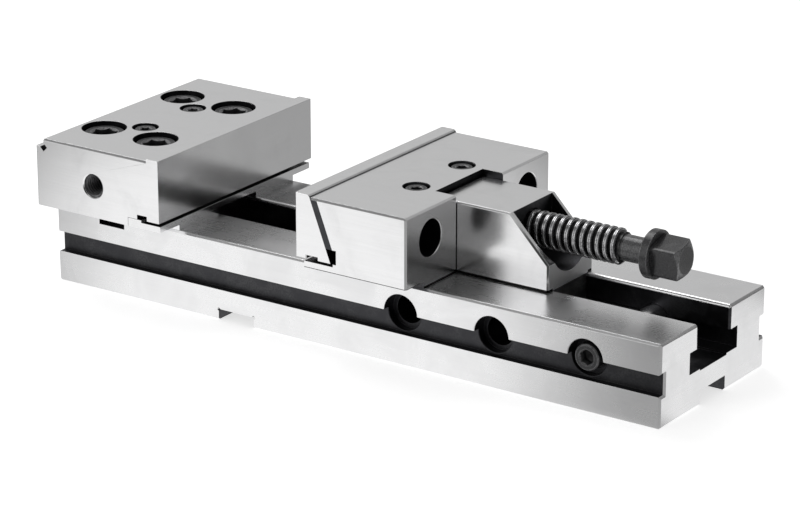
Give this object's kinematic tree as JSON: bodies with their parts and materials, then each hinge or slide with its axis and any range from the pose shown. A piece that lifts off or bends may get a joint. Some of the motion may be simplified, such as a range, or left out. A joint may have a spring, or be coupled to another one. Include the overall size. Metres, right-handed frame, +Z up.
{
  "type": "modular machine vise",
  "caption": "Modular machine vise with a T-channel bed, a screwed-on fixed jaw, a pull-down moving jaw and a screw-driven spindle block that bears on a cross pin.",
  "frame": {"origin": "middle of the bed's underside, on the surface that the vise stands on", "axes": "+X along the bed towards the square of the spindle, +Y across to the far side, +Z up"},
  "size_m": [0.419, 0.15, 0.0963],
  "materials": {
    "ground_steel": "case-hardened steel, finely ground on all faces",
    "pin_steel": "hardened steel, turned or ground, slightly oiled",
    "dark_slide_steel": "blued hardened slide plate, satin",
    "black_oxide": "black-oxide steel, oiled satin",
    "spring_steel": "disc spring steel, oiled",
    "nut_bronze": "plain bronze nut, oiled"
  },
  "bodies": {
    "bed": {"bed": "ground_steel", "stop_pin": "pin_steel", "fixed_jaw": "ground_steel", "fixed_jaw_rail": "ground_steel", "fixed_jaw_key": "pin_steel", "anchor_screw_1": "black_oxide", "anchor_screw_2": "black_oxide", "anchor_screw_3": "black_oxide", "anchor_screw_4": "black_oxide", "key_screw_1": "black_oxide", "key_screw_2": "black_oxide"},
    "spindle_block": {"spindle_block": "ground_steel", "spindle_nut": "nut_bronze", "block_foot": "pin_steel", "foot_screw_1": "black_oxide", "foot_screw_2": "black_oxide"},
    "moving_jaw": {"moving_jaw": "ground_steel", "jaw_slide_plate": "dark_slide_steel", "jaw_guide": "pin_steel", "guide_screw_1": "black_oxide", "guide_screw_2": "black_oxide", "spindle_fork": "black_oxide", "fork_screw_1": "black_oxide", "fork_screw_2": "black_oxide", "draw_spring_1": "spring_steel", "draw_spring_2": "spring_steel"},
    "jaw_plate": {"jaw_plate": "ground_steel", "draw_screw_1": "black_oxide", "draw_screw_2": "black_oxide"},
    "spindle": {"spindle": "black_oxide"}
  },
  "joints": [
    {"name": "block_slide", "type": "slide", "parent": "bed", "child": "spindle_block", "axis": [1, 0, 0], "range_m": [-0.037, 0]},
    {"name": "jaw_feed", "type": "slide", "parent": "spindle_block", "child": "moving_jaw", "axis": [1, 0, 0], "range_m": [-0.06, 0.001]},
    {"name": "spindle_turn", "type": "hinge", "parent": "moving_jaw", "child": "spindle", "pos_m": [0.1, 0, 0.0764], "axis": [1, 0, 0], "range_deg": [-4321, 73]},
    {"name": "plate_pull_down", "type": "slide", "parent": "moving_jaw", "child": "jaw_plate", "axis": [0.3584, 0, -0.9336], "range_m": [0, 0.001], "stiffness_N_per_m": 40000, "springref_m": -0.001}
  ],
  "couplings": [
    {"joint": "spindle_turn", "follows": "jaw_feed", "rad_per_m": 1256.6}
  ]
}
